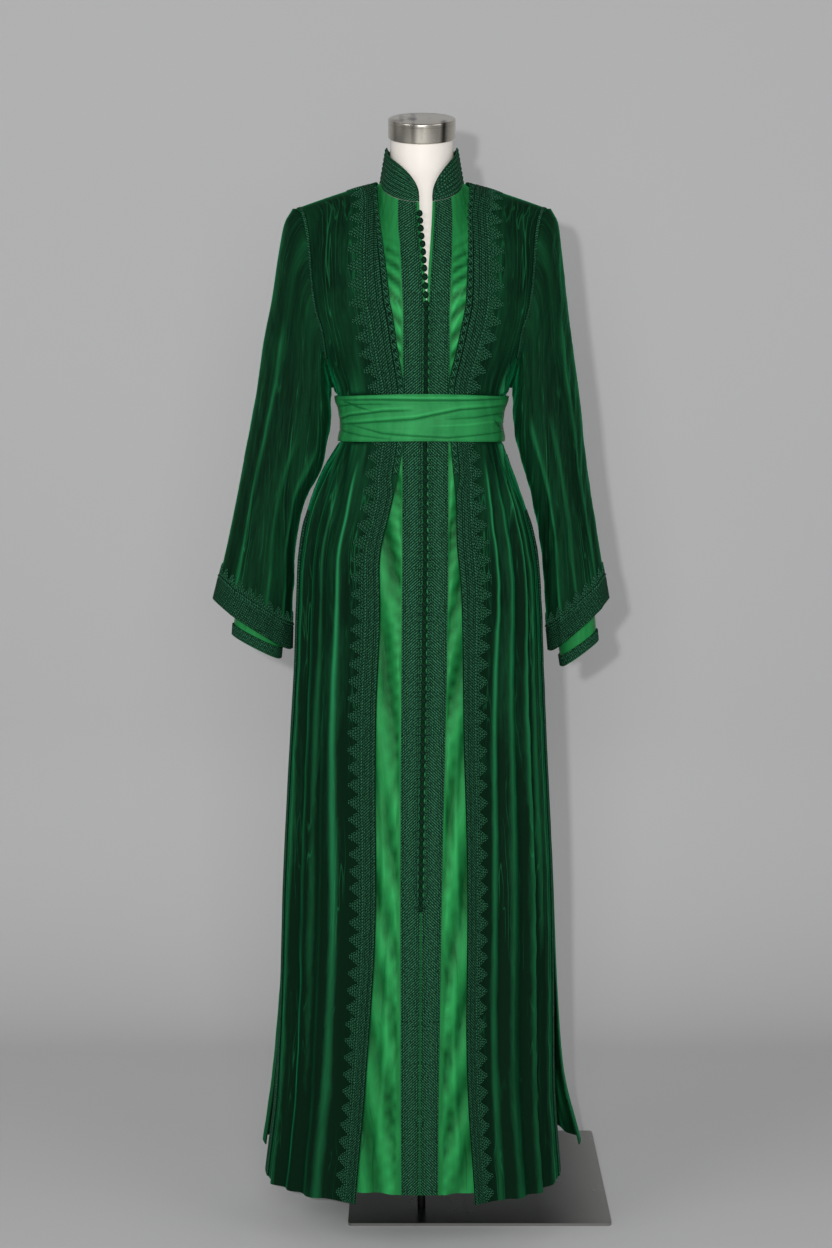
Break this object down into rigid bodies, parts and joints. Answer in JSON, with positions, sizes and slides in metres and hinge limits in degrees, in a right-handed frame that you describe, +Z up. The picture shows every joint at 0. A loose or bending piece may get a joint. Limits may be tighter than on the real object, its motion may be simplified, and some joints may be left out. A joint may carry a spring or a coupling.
{
  "type": "moroccan kaftan on dress form",
  "caption": "Two-layer Moroccan kaftan with satin sash, cord braids and long sleeves, hollow as worn, on a limbless dress form with a square steel plate",
  "frame": {"origin": "on the floor, under the centre of the pole and of the dress form", "axes": "+X to the right as seen from the front, +Y to the back, +Z up"},
  "size_m": [0.5706, 0.4998, 1.5801],
  "materials": {
    "velvet": "silk velvet",
    "satin": "satin",
    "sash_satin": "satin",
    "braid": "hand-knotted silk cord",
    "form_skin": "smooth, off-white",
    "brushed_steel": "brushed"
  },
  "bodies": {
    "root": {"base_plate": "brushed_steel", "stand_pole": "brushed_steel", "neck_cap": "brushed_steel", "form_body": "form_skin", "dress_back": "satin", "dress_front_left": "satin", "dress_front_right": "satin", "dress_sleeve_left": "satin", "dress_sleeve_right": "satin", "dress_collar": "braid", "dress_cuff_braid_left": "braid", "dress_cuff_braid_right": "braid", "placket_braid_left": "braid", "placket_braid_right": "braid", "placket_buttons": "braid", "robe_back": "velvet", "robe_front_left": "velvet", "robe_front_right": "velvet", "robe_sleeve_left": "velvet", "robe_sleeve_right": "velvet", "robe_front_braid_left": "braid", "robe_front_braid_right": "braid", "robe_slit_braid_left": "braid", "robe_slit_braid_right": "braid", "robe_armhole_braid_left": "braid", "robe_armhole_braid_right": "braid", "robe_cuff_braid_left": "braid", "robe_cuff_braid_right": "braid", "robe_buttons_left": "braid", "robe_buttons_right": "braid", "sash": "sash_satin"}
  },
  "joints": []
}
